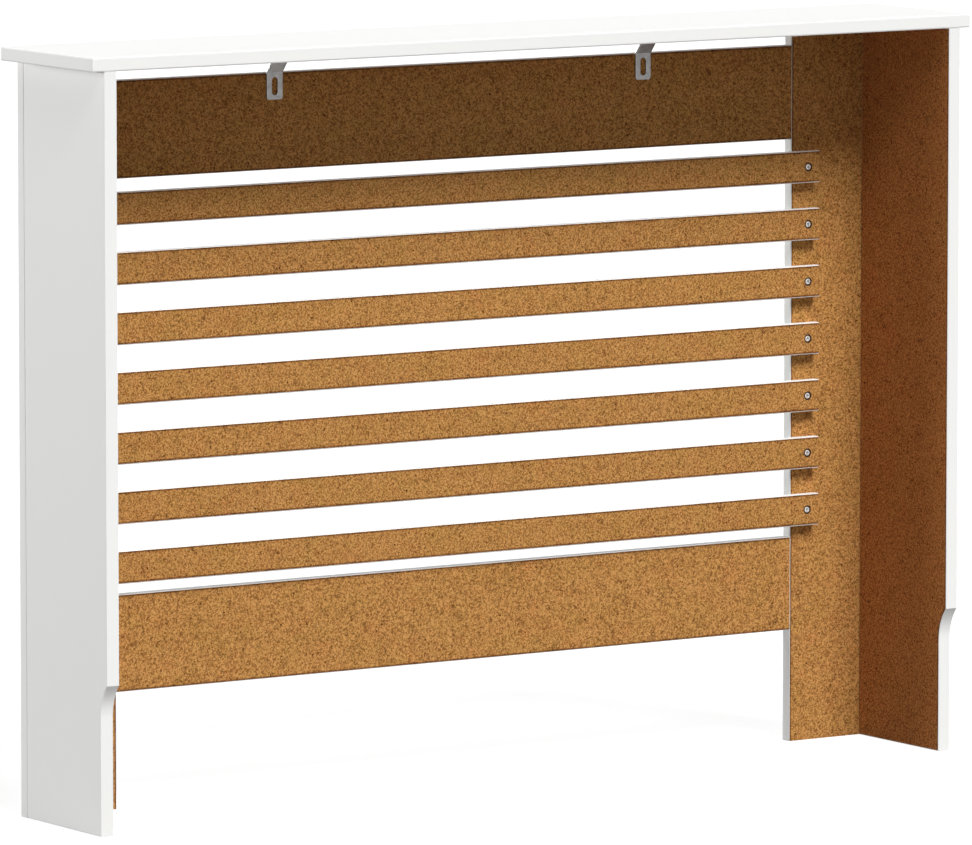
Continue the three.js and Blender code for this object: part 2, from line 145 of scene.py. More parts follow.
def blend(tree, factor, first, second, how="MIX"):
    """Mixes two colours."""
    inputs = {0: factor, 6: first, 7: second}
    return put(tree, "Mix", inputs, data_type="RGBA", blend_type=how).outputs[2]


def noise(tree, place, scale, detail=2.0, roughness=0.5, distortion=0.0):
    """Cloudy noise of `scale` cells to the metre, from 0 to 1."""
    inputs = {
        "Vector": place,
        "Scale": scale,
        "Detail": detail,
        "Roughness": roughness,
        "Distortion": distortion,
    }
    return put(tree, "TexNoise", inputs).outputs["Fac"]


def cells(tree, place, scale):
    """Scattered cells, `scale` to the metre: the distance to a cell's point and its colour."""
    made = put(tree, "TexVoronoi", {"Vector": place, "Scale": scale})
    return made.outputs["Distance"], made.outputs["Color"]


def part_of(tree, vector, axis):
    """One coordinate of a vector."""
    return put(tree, "SeparateXYZ", {0: vector}).outputs[axis]


def group(name, inputs, outputs):
    """A new node group, its input node and its output node."""
    tree = bpy.data.node_groups.new(name, "ShaderNodeTree")
    for label, kind in inputs:
        tree.interface.new_socket(label, in_out="INPUT", socket_type="NodeSocket" + kind)
    for label, kind in outputs:
        tree.interface.new_socket(label, in_out="OUTPUT", socket_type="NodeSocket" + kind)
    return tree, tree.nodes.new("NodeGroupInput").outputs, tree.nodes.new("NodeGroupOutput").inputs


def use(tree, made, inputs):
    """Places a node group in a tree and returns its outputs."""
    node = tree.nodes.new("ShaderNodeGroup")
    node.node_tree = made
    for key, value in inputs.items():
        if isinstance(value, bpy.types.NodeSocket):
            tree.links.new(value, node.inputs[key])
        else:
            node.inputs[key].default_value = value
    return node.outputs


def send(tree, outputs):
    """Links sockets to the sockets that they feed."""
    for socket, target in outputs:
        tree.links.new(socket, target)


def rgb(red, green, blue):
    """A colour in linear light, opaque."""
    return (red, green, blue, 1.0)


# ---------------------------------------------------------------- effects shared by materials

# Patterns of the raw board, in clouds or cells to the metre
MATTED_FIBRES = 520
FINE_DUST = 1100
TORN_TUFTS = 230
TUFT_SWIRLS = 420
CURLED_FIBRES = 150
CURL_PATCHES = 110
BARK_SPECKS = 125
SWIRL_PULL = 4.0 * MM

# Values of a pattern between which a tone or a mark changes over
DEEP_TO_PALE = (0.37, 0.60)
TUFT_EDGE = (-0.05, 0.08)
TUFT_CHANCE = (0.84, 0.97)
CURL_EDGE = (0.010, 0.040)
PATCH_EDGE = (0.57, 0.63)
SPECK_CHANCE = (0.40, 0.45)

# Least and greatest size of a tuft and a speck, in cells, and the board's roughness
TUFT_SIZE = (0.08, 0.30)
SPECK_SIZE = (0.05, 0.15)
RAW_ROUGHNESS = (0.78, 0.92)

# How far the dust takes the board's tone to brown, and each dark mark takes it to bark
DUST_STRENGTH = 0.3
TUFT_STRENGTH = 0.75
CURL_STRENGTH = 0.6
SPECK_STRENGTH = 0.95

# Heights of the dust and of the dark marks, as shares of the matted fibres' height
DUST_HEIGHT = 0.5
MARK_DEPTH = 0.4


def make_raw_board():
    """Raw fibreboard: matted fibres, cloudy hues, dark tufts, curled fibres and specks."""
    tree, given, out = group(
        "raw_board",
        [("Position", "Vector")],
        [("Color", "Color"), ("Roughness", "Float"), ("Height", "Float")],
    )
    place = given["Position"]
    grain = noise(tree, place, MATTED_FIBRES, 3.0, 0.65, 0.9)
    fine = noise(tree, place, FINE_DUST, 1.0, 0.6)
    tone = blend(tree, step(tree, grain, *DEEP_TO_PALE), RAW_DEEP, RAW_PALE)
    tone = blend(tree, span(tree, fine, 0.0, DUST_STRENGTH), tone, RAW_BROWN)

    # Hues: each field pulls the tone one way, in patches from about 40 mm down to 2 mm
    for scale, low, high, hue in RAW_HUES:
        field = noise(tree, place, scale, 2.0, 0.6)
        tone = blend(tree, step(tree, field, low, high), tone, hue, "MULTIPLY")

    # Tufts: small torn cells, only where a cell's own random number is high
    swirls = {"Vector": place, "Scale": TUFT_SWIRLS, "Detail": 1.0}
    swirl = put(tree, "TexNoise", swirls).outputs["Color"]
    pull = put(tree, "VectorMath", {0: swirl, 3: SWIRL_PULL}, operation="SCALE").outputs[0]
    torn = put(tree, "VectorMath", {0: place, 1: pull}, operation="ADD").outputs[0]
    distance, own = cells(tree, torn, TORN_TUFTS)
    size = span(tree, part_of(tree, own, 1), *TUFT_SIZE)
    inside = step(tree, calc(tree, "SUBTRACT", size, distance), *TUFT_EDGE)
    tuft = calc(tree, "MULTIPLY", inside, step(tree, part_of(tree, own, 0), *TUFT_CHANCE))

    # Curled fibres: the thin contour of a cloudy field, kept in scattered patches
    field = noise(tree, place, CURLED_FIBRES, 1.0, 0.4, 1.2)
    contour = calc(tree, "ABSOLUTE", calc(tree, "SUBTRACT", field, 0.5))
    thread = calc(tree, "SUBTRACT", 1.0, step(tree, contour, *CURL_EDGE), clamp=True)
    patch = step(tree, noise(tree, place, CURL_PATCHES, 1.0), *PATCH_EDGE)
    thread = calc(tree, "MULTIPLY", thread, patch)

    # Specks: scattered dark knots of bark
    far, knot = cells(tree, torn, BARK_SPECKS)
    speck = calc(tree, "LESS_THAN", far, span(tree, part_of(tree, knot, 0), *SPECK_SIZE))
    speck = calc(tree, "MULTIPLY", speck, step(tree, part_of(tree, knot, 1), *SPECK_CHANCE))

    tuft = calc(tree, "MULTIPLY", tuft, TUFT_STRENGTH)
    thread = calc(tree, "MULTIPLY", thread, CURL_STRENGTH)
    speck = calc(tree, "MULTIPLY", speck, SPECK_STRENGTH)
    dark = calc(tree, "MAXIMUM", calc(tree, "MAXIMUM", tuft, thread), speck)
    tone = blend(tree, dark, tone, RAW_BARK)
    rough = span(tree, grain, *RAW_ROUGHNESS)
    height = calc(tree, "ADD", grain, calc(tree, "MULTIPLY", fine, DUST_HEIGHT))
    height = calc(tree, "SUBTRACT", height, calc(tree, "MULTIPLY", dark, MARK_DEPTH))
    send(tree, [(tone, out["Color"]), (rough, out["Roughness"]), (height, out["Height"])])
    return tree


PEEL_CLOUDS = 520
TONE_CLOUDS = 7
GLOSS_CLOUDS = 45
FOIL_ROUGHNESS = (0.36, 0.5)


def make_foil():
    """White foil: a faint orange-peel skin with slow changes of tone and gloss."""
    tree, given, out = group(
        "white_foil",
        [("Position", "Vector")],
        [("Color", "Color"), ("Roughness", "Float"), ("Height", "Float")],
    )
    place = given["Position"]
    peel = noise(tree, place, PEEL_CLOUDS, 2.0, 0.5)
    slow = noise(tree, place, TONE_CLOUDS, 2.0, 0.5)
    colour = blend(tree, span(tree, slow, 0.0, 1.0), FOIL_WARM, FOIL_COOL)
    rough = span(tree, noise(tree, place, GLOSS_CLOUDS, 3.0, 0.6), *FOIL_ROUGHNESS)
    send(tree, [(colour, out["Color"]), (rough, out["Roughness"]), (peel, out["Height"])])
    return tree


# The border's own wave and blur, and the dark trimmed strip beside it, which ends unevenly
RAGGED_CLOUDS = 500
RAGGED_BY = 0.15 * MM
BORDER_SOFTNESS = 0.03 * MM
TRIMMED_END = (1.0 * MM, 2.6 * MM)
TRIMMED_CLOUDS = 70
TRIMMED_SHARE = (0.3, 1.3)


def make_foil_border():
    """Foil and raw board either side of a border. `Bared` is how far inside the raw face.

    The raw board darkens along the border, where the foil was trimmed.
    """
    tree, given, out = group(
        "foil_border",
        [("Position", "Vector"), ("Bared", "Float"), ("Raw Shade Tint", "Color")],
        [("Color", "Color"), ("Roughness", "Float"), ("Height", "Float"), ("Coat", "Float")],
    )
    place = given["Position"]
    raw = use(tree, raw_board, {"Position": place})
    # The raw tint darkens and reddens the raw face: painted shade on the side panels, white and so
    # unchanged on the other boards
    fibre = blend(tree, 1.0, raw["Color"], given["Raw Shade Tint"], "MULTIPLY")
    skin = use(tree, white_foil, {"Position": place})
    ragged = span(tree, noise(tree, place, RAGGED_CLOUDS, 2.0), -RAGGED_BY, RAGGED_BY)
    inward = calc(tree, "ADD", given["Bared"], ragged)
    bare = step(tree, inward, -BORDER_SOFTNESS, BORDER_SOFTNESS)
    covered = calc(tree, "SUBTRACT", 1.0, bare)
    trimmed = calc(tree, "SUBTRACT", 1.0, step(tree, inward, *TRIMMED_END))
    uneven = span(tree, noise(tree, place, TRIMMED_CLOUDS, 2.0), *TRIMMED_SHARE)
    trimmed = calc(tree, "MULTIPLY", trimmed, uneven, clamp=True)
    fibre = blend(tree, trimmed, fibre, TRIMMED, "MULTIPLY")

    def either(in_raw, in_foil):
        """Takes one number on bare board and another on foil."""
        bare_share = calc(tree, "MULTIPLY", bare, in_raw)
        return calc(tree, "ADD", bare_share, calc(tree, "MULTIPLY", covered, in_foil))

    colour = blend(tree, bare, skin["Color"], fibre)
    rough = either(raw["Roughness"], skin["Roughness"])
    peel = calc(tree, "MULTIPLY", skin["Height"], FOIL_PEEL)
    height = either(raw["Height"], peel)
    coat = calc(tree, "MULTIPLY", covered, FOIL_GLOSS)
    send(tree, [
        (colour, out["Color"]),
        (rough, out["Roughness"]),
        (height, out["Height"]),
        (coat, out["Coat"]),
    ])
    return tree


CRYSTALS = 260
CRYSTAL_SHARE = 0.35
ZINC_CLOUDS = 120
ZINC_SCRATCHES = 420
SCRATCH_STRETCH = (14.0, 1.0, 1.0)
ZINC_ROUGHNESS = (0.26, 0.44)
SCRATCH_ROUGHNESS = 0.12


def make_zinc():
    """Bright zinc: faint crystal spangle, rubbed scratches along the strip and a cloudy gloss."""
    tree, given, out = group(
        "zinc_plate",
        [("Position", "Vector")],
        [("Tone", "Float"), ("Roughness", "Float"), ("Height", "Float")],
    )
    place = given["Position"]
    crystal = part_of(tree, cells(tree, place, CRYSTALS)[1], 0)
    cloud = noise(tree, place, ZINC_CLOUDS, 3.0, 0.6)
    drawn = put(tree, "Mapping", {"Vector": place, "Scale": SCRATCH_STRETCH}).outputs[0]
    scratch = noise(tree, drawn, ZINC_SCRATCHES, 3.0, 0.7)
    crystal = calc(tree, "MULTIPLY", crystal, CRYSTAL_SHARE)
    tone = calc(tree, "ADD", crystal, calc(tree, "MULTIPLY", cloud, 1 - CRYSTAL_SHARE))
    rubbed = calc(tree, "MULTIPLY", scratch, SCRATCH_ROUGHNESS)
    rough = calc(tree, "ADD", span(tree, cloud, *ZINC_ROUGHNESS), rubbed)
    send(tree, [(tone, out["Tone"]), (rough, out["Roughness"]), (scratch, out["Height"])])
    return tree


# ---------------------------------------------------------------- colours and reliefs

RAW_PALE = rgb(0.668, 0.347, 0.112)
RAW_BROWN = rgb(0.455, 0.220, 0.065)
RAW_DEEP = rgb(0.180, 0.068, 0.015)
RAW_BARK = rgb(0.080, 0.021, 0.004)
# Scale to the metre, the field's values where the hue starts and is full, and the hue
RAW_HUES = [
    (26, 0.42, 0.68, rgb(0.96, 0.99, 0.94)),
    (34, 0.50, 0.72, rgb(1.0, 0.94, 0.95)),
    (95, 0.50, 0.70, rgb(0.96, 0.98, 0.93)),
    (130, 0.53, 0.72, rgb(0.98, 0.94, 0.90)),
    (420, 0.48, 0.70, rgb(0.86, 0.75, 0.62)),
]
# Redder, darker tint of the side panels' raw faces: painted shade, standing in for the deep shade
# inside the cabinet
PANEL_SHADE_TINT = rgb(1.05, 0.86, 0.86)
TRIMMED = rgb(0.32, 0.22, 0.20)
FOIL_WARM = rgb(0.885, 0.88, 0.855)
FOIL_COOL = rgb(0.875, 0.88, 0.868)
ZINC_DULL = rgb(0.18, 0.18, 0.18)
ZINC_BRIGHT = rgb(0.36, 0.352, 0.346)
SCREW_PALE = rgb(0.92, 0.90, 0.87)
SCREW_GREY = rgb(0.62, 0.60, 0.58)
# Dark colour of painted shade, in the slats' countersunk holes and on the slat screws' heads
PAINTED_SHADE = rgb(0.035, 0.020, 0.012)
BEECH_PALE = rgb(0.62, 0.44, 0.26)
BEECH_RAY = rgb(0.40, 0.24, 0.12)
FOIL_PEEL = 0.02
FOIL_GLOSS = 0.25
COAT_ROUGHNESS = 0.3
BOARD_SPECULAR = 0.1
ZINC_METAL = 0.85
SLAT_SCREW_METAL = 0.55
BOARD_RELIEF = 0.12 * MM
ZINC_RELIEF = 0.02 * MM
BEECH_RELIEF = 0.03 * MM

raw_board = make_raw_board()
white_foil = make_foil()
foil_border = make_foil_border()
zinc_plate = make_zinc()

# ---------------------------------------------------------------- materials


def material(name):
    """A new material, its tree, its Principled shader and the object's own coordinates."""
    made = bpy.data.materials.new(name)
    made.use_nodes = True
    tree = made.node_tree
    tree.nodes.clear()
    shader = put(tree, "BsdfPrincipled")
    send(tree, [(shader.outputs[0], put(tree, "OutputMaterial").inputs[0])])
    place = put(tree, "TexCoord").outputs["Object"]
    return made, tree, shader, place


def surface(tree, shader, colour, look, relief):
    """Feeds a shader's colour, roughness and bump. `relief` is the bump's depth in metres."""
    bump = put(tree, "Bump", {"Height": look["Height"], "Distance": relief})
    send(tree, [
        (colour, shader.inputs["Base Color"]),
        (look["Roughness"], shader.inputs["Roughness"]),
        (bump.outputs[0], shader.inputs["Normal"]),
    ])


def board(name, bared, raw_shade_tint=rgb(1, 1, 1), shade_mask=None):
    """A foiled board whose raw faces are where `bared(tree, place)` is above nought, in metres."""
    made, tree, shader, place = material(name)
    inputs = {"Position": place, "Bared": bared(tree, place), "Raw Shade Tint": raw_shade_tint}
    look = use(tree, foil_border, inputs)
    colour = look["Color"]
    # Painted shade: a dark colour laid over the board where the mask is high
    if shade_mask is not None:
        colour = blend(tree, shade_mask(tree, place), colour, PAINTED_SHADE)
    surface(tree, shader, colour, look, BOARD_RELIEF)
    send(tree, [(look["Coat"], shader.inputs["Coat Weight"])])
    shader.inputs["Coat Roughness"].default_value = COAT_ROUGHNESS
    shader.inputs["Specular IOR Level"].default_value = BOARD_SPECULAR
    return made


STEEPNESS = 50.0


def past(tree, coordinate, plane):
    """Above nought past a plane, and steep, so that a face that lies in it counts as far inside."""
    beyond = calc(tree, "SUBTRACT", coordinate, plane - FOIL_TURN)
    return calc(tree, "MULTIPLY", beyond, STEEPNESS)


def within(tree, coordinate, reach):
    """How far a coordinate is inside a band of the given reach either side of nought."""
    return calc(tree, "SUBTRACT", reach, calc(tree, "ABSOLUTE", coordinate))


def under_shelf(tree, place):
    """Bared on the shelf's underside, inside a border of foil that is wrapped round."""
    below = past(tree, calc(tree, "MULTIPLY", part_of(tree, place, 2), -1.0), -SHELF_UNDERSIDE)
    side = within(tree, part_of(tree, place, 0), SHELF_REACH.x - SHELF_FOIL_RIM)
    end = within(tree, part_of(tree, place, 1), SHELF_REACH.y - SHELF_FOIL_RIM)
    return calc(tree, "MINIMUM", below, calc(tree, "MINIMUM", side, end))


def inside_panel(tree, place):
    """Bared on the faces of the two side panels that look at each other, but for their arrises.

    The rear edge follows the cut-out: an arc on the height above the cut-out's upright part.
    """
    out = calc(tree, "ABSOLUTE", part_of(tree, place, 0))
    face = past(tree, calc(tree, "MULTIPLY", out, -1.0), -PANEL_INSIDE)
    risen = calc(tree, "SUBTRACT", part_of(tree, place, 2), NOTCH_UPRIGHT)
    risen = calc(tree, "MINIMUM", calc(tree, "MAXIMUM", risen, 0.0), NOTCH_RISE)
    chord = calc(tree, "SUBTRACT", NOTCH_RADIUS ** 2, calc(tree, "POWER", risen, 2.0))
    swept = calc(tree, "SUBTRACT", NOTCH_RADIUS, calc(tree, "SQRT", chord))
    rear = calc(tree, "ADD", swept, PANEL_REAR - NOTCH_DEPTH - PANEL_FOIL_RIM)
    return calc(tree, "MINIMUM", face, calc(tree, "SUBTRACT", rear, part_of(tree, place, 1)))


def stile_bared(tree, place):
    """Bared on a stile's back, but for a strip of foil along its inner edge."""
    back = past(tree, part_of(tree, place, 1), FRAME_BACK)
    out = calc(tree, "ABSOLUTE", part_of(tree, place, 0))
    return calc(tree, "MINIMUM", back, calc(tree, "SUBTRACT", out, STILE_INSIDE + STILE_FOIL_RIM))


def rail_bared(tree, place):
    """Bared on a rail's back, but for its arrises."""
    back = past(tree, part_of(tree, place, 1), FRAME_BACK)
    level = calc(tree, "ABSOLUTE", calc(tree, "SUBTRACT", part_of(tree, place, 2), RAILS_MIDDLE))
    up = calc(tree, "SUBTRACT", level, RAILS_APART)
    return calc(tree, "MINIMUM", back, within(tree, up, RAIL_HALF - RAIL_FOIL_RIM))


def above_slat_middle(tree, place):
    """Height above the middle of the nearest slat."""
    risen = calc(tree, "SUBTRACT", part_of(tree, place, 2), SLAT_LEVEL)
    slats = calc(tree, "DIVIDE", risen, SLAT_PITCH)
    off = calc(tree, "SUBTRACT", slats, calc(tree, "ROUND", slats))
    return calc(tree, "MULTIPLY", off, SLAT_PITCH)


def from_slat_screw(tree, place):
    """Distance to the axis of the nearest slat screw."""
    out = calc(tree, "ABSOLUTE", part_of(tree, place, 0))
    across = calc(tree, "SUBTRACT", out, SCREW_COLUMN)
    up = above_slat_middle(tree, place)
    square = calc(tree, "ADD", calc(tree, "POWER", across, 2.0), calc(tree, "POWER", up, 2.0))
    return calc(tree, "SQRT", square)


def slat_bared(tree, place):
    """Bared on a slat's back but for its arrises, on its sawn ends and in its countersunk holes."""
    back = past(tree, part_of(tree, place, 1), SLAT_BACK)
    up = calc(tree, "SUBTRACT", above_slat_middle(tree, place), SLAT_FOIL_SHIFT)
    back = calc(tree, "MINIMUM", back, within(tree, up, SLAT_HALF - SLAT_FOIL_RIM))
    end = past(tree, calc(tree, "ABSOLUTE", part_of(tree, place, 0)), SLAT_END)
    sunk = calc(tree, "SUBTRACT", COUNTERSINK_MOUTH, from_slat_screw(tree, place))
    return calc(tree, "MAXIMUM", calc(tree, "MAXIMUM", back, end), sunk)


def countersink_shade(tree, place):
    """Painted shade in and just round a slat's countersunk holes."""
    outside = calc(tree, "SUBTRACT", from_slat_screw(tree, place), COUNTERSINK_MOUTH)
    return calc(tree, "SUBTRACT", 1.0, step(tree, outside, *COUNTERSINK_SHADE_END))


def zinc(name, dull, bright, metal, ring=None):
    """Zinc plate between two tones. `ring(tree, place)` is where painted shade lies on it."""
    made, tree, shader, place = material(name)
    look = use(tree, zinc_plate, {"Position": place})
    colour = blend(tree, look["Tone"], dull, bright)
    # Painted shade: a dark colour laid over the zinc where the ring mask is high
    if ring is not None:
        colour = blend(tree, ring(tree, place), colour, PAINTED_SHADE)
    surface(tree, shader, colour, look, ZINC_RELIEF)
    shader.inputs["Metallic"].default_value = metal
    return made


def screw_shade(tree, place):
    """Painted shade on the sloping rim of a slat screw's head, and in its recess."""
    near = from_slat_screw(tree, place)
    deep = calc(tree, "SUBTRACT", SLAT_BACK, part_of(tree, place, 1))
    sunk = calc(tree, "MULTIPLY", step(tree, deep, *RECESS_TOP), step(tree, deep, *RECESS_FLOOR))
    inside = calc(tree, "MULTIPLY", sunk, step(tree, near, *RECESS_REACH))
    inside = calc(tree, "MULTIPLY", inside, RECESS_SHADE)
    return calc(tree, "MAXIMUM", step(tree, near, *RIM_SHADE), inside)


RAY_CLOUDS = 900
RAY_STRETCH = (1.0, 1.0, 0.25)
RAY_EDGE = (0.52, 0.66)
BEECH_ROUGHNESS = (0.6, 0.75)


def beech():
    """Beech: pale wood with short dark rays."""
    made, tree, shader, place = material("beech_dowel")
    drawn = put(tree, "Mapping", {"Vector": place, "Scale": RAY_STRETCH}).outputs[0]
    rays = step(tree, noise(tree, drawn, RAY_CLOUDS, 2.0, 0.6), *RAY_EDGE)
    colour = blend(tree, rays, BEECH_PALE, BEECH_RAY)
    bump = put(tree, "Bump", {"Height": rays, "Distance": BEECH_RELIEF})
    send(tree, [
        (colour, shader.inputs["Base Color"]),
        (span(tree, rays, *BEECH_ROUGHNESS), shader.inputs["Roughness"]),
        (bump.outputs[0], shader.inputs["Normal"]),
    ])
    return made


shelf_finish = board("shelf_foil", under_shelf)
# The side panels' raw faces carry a painted shade tint
panel_finish = board("panel_foil", inside_panel, raw_shade_tint=PANEL_SHADE_TINT)
stile_finish = board("stile_foil", stile_bared)
rail_finish = board("rail_foil", rail_bared)
# Slats take painted shade in and round their countersunk holes
slat_finish = board("slat_foil", slat_bared, shade_mask=countersink_shade)
strap_finish = zinc("strap_zinc", ZINC_DULL, ZINC_BRIGHT, ZINC_METAL)
# Slat screws take painted shade on their rims and in their recesses
slat_screw_finish = zinc("slat_screw_zinc", SCREW_GREY, SCREW_PALE, SLAT_SCREW_METAL, screw_shade)
strap_screw_finish = zinc("strap_screw_zinc", SCREW_GREY, SCREW_PALE, ZINC_METAL)
dowel_finish = beech()


def dress(nodes, finish):
    """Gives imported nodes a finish."""
    for name in nodes:
        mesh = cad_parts[name].data
        mesh.materials.clear()
        mesh.materials.append(finish)


dress(["shelf"], shelf_finish)
dress(["side_panel_left", "side_panel_right"], panel_finish)
dress(["front_stile_left", "front_stile_right"], stile_finish)
dress(["top_rail", "bottom_rail"], rail_finish)
dress(SLATS, slat_finish)
dress(STRAPS, strap_finish)
dress(SLAT_SCREWS, slat_screw_finish)
dress(STRAP_SCREWS, strap_screw_finish)
dress(DOWELS, dowel_finish)

# ---------------------------------------------------------------- turned screws and bent straps

SHARP_FROM = math.radians(35)


def in_mesh(name, points, faces, finish, node):
    """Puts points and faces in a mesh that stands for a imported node."""
    mesh = bpy.data.meshes.new(name)
    mesh.from_pydata(points.tolist(), [], faces)
    mesh.materials.append(finish)
    mesh.shade_smooth()
    mesh.set_sharp_from_angle(angle=SHARP_FROM)
    made = bpy.data.objects.new(name, mesh)
    bpy.context.scene.collection.objects.link(made)
    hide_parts(node)
    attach(made, "root")
    return made


SCREW_SPOKES = 40
THREAD_ROWS = 7
SCREW_SEED = 7
WING_SOFTNESS = 0.12 * MM
INTO_STILE = (0.0, -1.0, 0.0)
UP_INTO_SHELF = (0.0, 0.0, 1.0)


def screw(node, finish, head, thread, recess, turn, way_in):
    """A cross-recess screw, turned round its node's axis and driven in along `way_in`.

    Rows run from the head's middle to the point, and each row is a circle of spokes. A row's
    radius comes from the profile: the head's own rows, then the shank, whose radius rises
    from core to crest as a triangle wave of the distance along less the angle's share of a
    pitch, which makes the thread a helix. The wave grows in after the head and shrinks with
    the radius to nought along the tip. The head's rows sink by the recess's depth where a
    spoke lies within one of two crossed bars, deepest in the middle.
    """
    low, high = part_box(node)
    along = np.array(way_in)
    axis = int(np.argmax(np.abs(along)))
    start = np.array((low + high) / 2)
    start[axis] = high[axis] if along[axis] < 0 else low[axis]
    length = high[axis] - low[axis]

    core, pitch = thread["core"], thread["pitch"]
    head = np.array(head) * MM
    rows = int(round((length - thread["from"]) / pitch * THREAD_ROWS))
    shank_w = np.linspace(thread["from"], length, rows + 1)
    w = np.concatenate([head[:, 0], shank_w])
    angle = np.linspace(0, 2 * np.pi, SCREW_SPOKES, endpoint=False) + turn
    wave = np.abs(((w[:, None] / pitch - (angle - turn) / (2 * np.pi)) % 1.0) * 2 - 1)
    to_point = np.clip((length - w) / thread["tip"], 0, 1)
    grown = np.clip((w - thread["from"]) / pitch, 0, 1) * to_point
    bare = np.concatenate([head[:, 1], core * to_point[len(head):]])
    radius = bare[:, None] + (thread["crest"] - core) * wave * grown[:, None]

    across = radius * np.cos(angle - turn)
    aloft = radius * np.sin(angle - turn)
    narrow = np.minimum(np.abs(across), np.abs(aloft))
    reach = np.hypot(across, aloft) / (recess["span"] / 2)
    bar = np.clip((recess["wing"] / 2 - narrow) / WING_SOFTNESS + 0.5, 0, 1)
    depth = recess["depth"] * bar * np.clip(1 - reach ** 2, 0, 1)
    on_top = np.zeros(len(w))
    on_top[:recess["rows"]] = 1.0
    drop = w[:, None] + depth * on_top[:, None]

    u = np.array((0.0, 0.0, 1.0)) if axis == 1 else np.array((1.0, 0.0, 0.0))
    v = np.cross(along, u)
    ring = (radius * np.cos(angle))[..., None] * u + (radius * np.sin(angle))[..., None] * v
    points = (start + drop[..., None] * along + ring)[1:-1].reshape(-1, 3)
    pole = start + along * drop[0, 0]
    point = start + along * length
    points = np.concatenate([points, [pole, point]])

    count = len(w) - 2
    i, j = np.meshgrid(np.arange(count - 1), np.arange(SCREW_SPOKES), indexing="ij")
    beside = (j + 1) % SCREW_SPOKES
    here, there = i * SCREW_SPOKES, (i + 1) * SCREW_SPOKES
    quads = np.stack([here + j, here + beside, there + beside, there + j], -1).reshape(-1, 4)
    spoke = np.arange(SCREW_SPOKES)
    following = (spoke + 1) % SCREW_SPOKES
    last = (count - 1) * SCREW_SPOKES
    first_fan = np.stack([np.full_like(spoke, len(points) - 2), following, spoke], -1)
    last_fan = np.stack([last + spoke, last + following, np.full_like(spoke, len(points) - 1)], -1)
    faces = quads.tolist() + first_fan.tolist() + last_fan.tolist()
    return in_mesh(node + "_turned", points, faces, finish, node)


# Head profiles as (distance along, radius) in millimetres, from the middle out and round
SLAT_HEAD = [
    (0.0, 0.0), (0.0, 0.25), (0.0, 0.5), (0.0, 0.75), (0.0, 1.0), (0.0, 1.25), (0.0, 1.5),
    (0.01, 1.75), (0.02, 2.0), (0.04, 2.25), (0.07, 2.55), (0.13, 2.85), (0.23, 3.15),
    (0.33, 3.38), (0.4, 3.49), (0.46, 3.42), (1.0, 2.9), (1.6, 2.3), (2.1, 1.8),
    (2.4, 1.45), (3.0, 1.4),
]
STRAP_HEAD = [
    (0.0, 0.0), (0.0, 0.3), (0.0, 0.6), (0.0, 0.9), (0.0, 1.2), (0.01, 1.5), (0.03, 1.8),
    (0.06, 2.1), (0.1, 2.5), (0.2, 3.1), (0.4, 3.7), (0.75, 4.3), (1.1, 4.7), (1.6, 4.95),
    (2.0, 5.0), (2.35, 4.97), (2.4, 4.9), (2.4, 3.5), (2.4, 1.9), (2.7, 1.6), (3.0, 1.5),
]
# Where the thread starts behind the head's face, its inner and outer radius, its pitch and
# how long the point is
SLAT_THREAD = {
    "from": 3.2 * MM, "core": 1.2 * MM, "crest": 1.74 * MM, "pitch": 1.5 * MM, "tip": 4.0 * MM,
}
STRAP_THREAD = {
    "from": 3.2 * MM, "core": 1.4 * MM, "crest": 1.98 * MM, "pitch": 1.7 * MM, "tip": 4.0 * MM,
}
# The recess's width across, the thickness of a wing, its depth and the head's rows that sink
SLAT_RECESS = {"span": 4.2 * MM, "wing": 1.2 * MM, "depth": 1.5 * MM, "rows": 9}
STRAP_RECESS = {"span": 4.4 * MM, "wing": 1.0 * MM, "depth": 1.6 * MM, "rows": 9}

# Each screw stops at its own angle
screw_count = len(SLAT_SCREWS) + len(STRAP_SCREWS)
driven = np.random.default_rng(SCREW_SEED).uniform(0, np.pi / 2, screw_count)
for node, turn in zip(SLAT_SCREWS, driven):
    screw(node, slat_screw_finish, SLAT_HEAD, SLAT_THREAD, SLAT_RECESS, turn, INTO_STILE)
for node, turn in zip(STRAP_SCREWS, driven[len(SLAT_SCREWS):]):
    screw(node, strap_screw_finish, STRAP_HEAD, STRAP_THREAD, STRAP_RECESS, turn, UP_INTO_SHELF)

STRAP_THICKNESS = 1.5 * MM
STRAP_LEG = 29 * MM
STRAP_FLANGE = 29 * MM
STRAP_SLANT = math.radians(40)
STRAP_BEND = 2.75 * MM
STRAP_CORNER = 3 * MM
SLOT_WIDTH = 7 * MM
SLOT_LENGTH = 19 * MM
SLOT_MIDDLE = 14.5 * MM
SLOTTED_END = 25.5 * MM
STRAP_COLUMNS = 9
BEND_STEPS = 7
SIDE_POINTS = 12
CORNER_POINTS = 6
FOOT_POINTS = 7
RAY_POINTS = 5
WELD_DECIMALS = 4
EDGE_BREAK = 0.25 * MM
EDGE_ANGLE = math.radians(50)


def bent_line(corners, radius, steps):
    """A line through corners in (y, z), each rounded by a true arc of the given radius."""
    line = [corners[0]]
    for before, corner, after in zip(corners, corners[1:], corners[2:]):
        come = (corner - before) / np.linalg.norm(corner - before)
        go = (after - corner) / np.linalg.norm(after - corner)
        angle = math.acos(float(come @ go))
        side = math.copysign(1.0, come[0] * go[1] - come[1] * go[0])
        start = corner - come * radius * math.tan(angle / 2)
        inward = side * np.array((-come[1], come[0]))
        swept = np.linspace(0, angle, steps + 1)[:, None]
        line.extend(start + radius * (inward * (1 - np.cos(swept)) + come * np.sin(swept)))
    line.append(corners[-1])
    return np.array(line)


